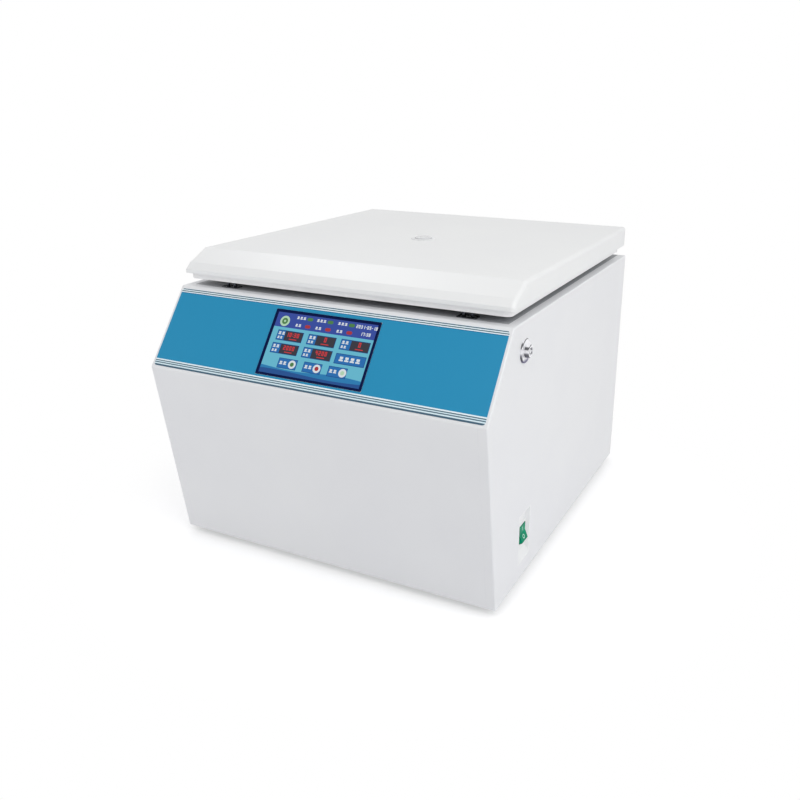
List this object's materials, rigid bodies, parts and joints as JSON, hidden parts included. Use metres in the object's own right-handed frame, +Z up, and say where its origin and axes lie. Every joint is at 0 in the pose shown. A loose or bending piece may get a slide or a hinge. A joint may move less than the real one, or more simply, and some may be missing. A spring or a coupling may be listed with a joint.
{
  "type": "microplate centrifuge",
  "caption": "Bench-top microplate centrifuge: box cabinet with slanted touch-screen fascia, hinged lid, round chamber and a rotor with swing-out plate carriers.",
  "frame": {"origin": "on the bench, under the middle of the machine", "axes": "+X to the right of someone facing the screen, +Y from the front to the back, +Z up"},
  "size_m": [0.5286, 0.614, 0.4402],
  "materials": {
    "cabinet_paint": "satin powder coat, pale grey-white",
    "deck_paint": "satin powder coat, mid grey",
    "lid_paint": "satin paint, white",
    "overlay_film": "printed polyester film, blue",
    "screen_glass": "black-bordered touch glass over a lit display",
    "steel_sheet": "stainless sheet",
    "zinc_steel": "zinc-plated steel",
    "chrome": "polished chrome plate",
    "aluminium": "anodised aluminium",
    "cast_steel": "dark painted cast steel",
    "rubber": "black rubber",
    "grey_rubber": "grey silicone rubber",
    "black_plastic": "black moulded plastic",
    "white_plastic": "pale grey moulded plastic",
    "green_plastic": "translucent green plastic",
    "clear_plastic": "clear acrylic plug",
    "port_plastic": "grey plastic",
    "board": "green circuit board"
  },
  "bodies": {
    "housing": {"base_plate": "zinc_steel", "rubber_feet": "rubber", "cabinet_screws": "zinc_steel", "front_panel": "cabinet_paint", "left_side_panel": "cabinet_paint", "right_side_panel": "cabinet_paint", "top_deck": "deck_paint", "rear_panel": "cabinet_paint", "fascia_overlay": "overlay_film", "touch_glass": "screen_glass", "lcd_module": "steel_sheet", "lcd_bracket": "zinc_steel", "board_spacers": "zinc_steel", "control_board": "board", "switch_pocket": "cabinet_paint", "switch_housing": "white_plastic", "lock_body": "chrome", "lock_nut": "zinc_steel", "chamber_bowl": "steel_sheet", "chamber_seal": "grey_rubber", "guard_ring": "zinc_steel", "chamber_plate": "zinc_steel", "chamber_posts": "zinc_steel", "motor_mounts": "rubber", "motor_body": "cast_steel", "spindle_boot": "rubber", "imbalance_switch": "black_plastic", "hinge_leaves": "zinc_steel", "latch_bezels": "chrome", "latch_brackets": "zinc_steel", "latch_solenoid": "black_plastic", "power_inlet": "black_plastic", "rear_fittings": "black_plastic", "fan_frame": "black_plastic", "fan_guard": "zinc_steel", "drive_board": "board", "heat_sink": "aluminium", "power_supply": "zinc_steel"},
    "lid": {"lid_cover": "lid_paint", "lid_liner": "white_plastic", "lid_armour": "aluminium", "lid_screws": "zinc_steel", "port_ring": "port_plastic", "port_window": "clear_plastic", "lid_strikers": "chrome", "hinge_arms": "zinc_steel"},
    "rotor": {"motor_spindle": "zinc_steel", "rotor_yoke": "aluminium", "rotor_trunnions": "zinc_steel", "rotor_nut": "aluminium"},
    "carrier_1": {"plate_carrier_1": "steel_sheet"},
    "carrier_2": {"plate_carrier_2": "steel_sheet"},
    "carrier_3": {"plate_carrier_3": "steel_sheet"},
    "carrier_4": {"plate_carrier_4": "steel_sheet"},
    "latch": {"latch_shaft": "zinc_steel", "latch_arms": "zinc_steel"},
    "plunger": {"solenoid_plunger": "zinc_steel"},
    "key": {"lock_plug": "chrome"},
    "rocker": {"power_rocker": "green_plastic"},
    "fan": {"fan_impeller": "black_plastic"}
  },
  "joints": [
    {"name": "lid_hinge", "type": "hinge", "parent": "housing", "child": "lid", "pos_m": [0, 0.3, 0.3974], "axis": [-1, 0, 0], "range_deg": [0, 75]},
    {"name": "rotor_spin", "type": "hinge", "parent": "housing", "child": "rotor", "pos_m": [0, 0.038, 0.335], "axis": [0, 0, 1], "continuous": true},
    {"name": "carrier_swing_1", "type": "hinge", "parent": "rotor", "child": "carrier_1", "pos_m": [0.12, 0.038, 0.335], "axis": [0, -1, 0], "range_deg": [0, 90]},
    {"name": "carrier_swing_2", "type": "hinge", "parent": "rotor", "child": "carrier_2", "pos_m": [0, 0.158, 0.335], "axis": [1, 0, 0], "range_deg": [0, 90]},
    {"name": "carrier_swing_3", "type": "hinge", "parent": "rotor", "child": "carrier_3", "pos_m": [-0.12, 0.038, 0.335], "axis": [0, 1, 0], "range_deg": [0, 90]},
    {"name": "carrier_swing_4", "type": "hinge", "parent": "rotor", "child": "carrier_4", "pos_m": [0, -0.082, 0.335], "axis": [-1, 0, 0], "range_deg": [0, 90]},
    {"name": "latch_swing", "type": "hinge", "parent": "housing", "child": "latch", "pos_m": [0, -0.1898, 0.33], "axis": [1, 0, 0], "range_deg": [0, 25], "stiffness_Nm_per_rad": 0.4, "springref_deg": -17.19},
    {"name": "plunger_slide", "type": "slide", "parent": "housing", "child": "plunger", "axis": [0, 1, 0], "range_m": [0, 0.0096]},
    {"name": "key_turn", "type": "hinge", "parent": "housing", "child": "key", "pos_m": [0.26, -0.1915, 0.3505], "axis": [1, 0, 0], "range_deg": [0, 90]},
    {"name": "rocker_swing", "type": "hinge", "parent": "housing", "child": "rocker", "pos_m": [0.2522, -0.163, 0.077], "axis": [0, 1, 0], "range_deg": [0, 22]},
    {"name": "fan_spin", "type": "hinge", "parent": "housing", "child": "fan", "pos_m": [0.13, 0.28, 0.128], "axis": [0, 1, 0], "continuous": true}
  ],
  "couplings": [
    {"joint": "plunger_slide", "follows": "latch_swing", "m_per_rad": 0.021826}
  ]
}
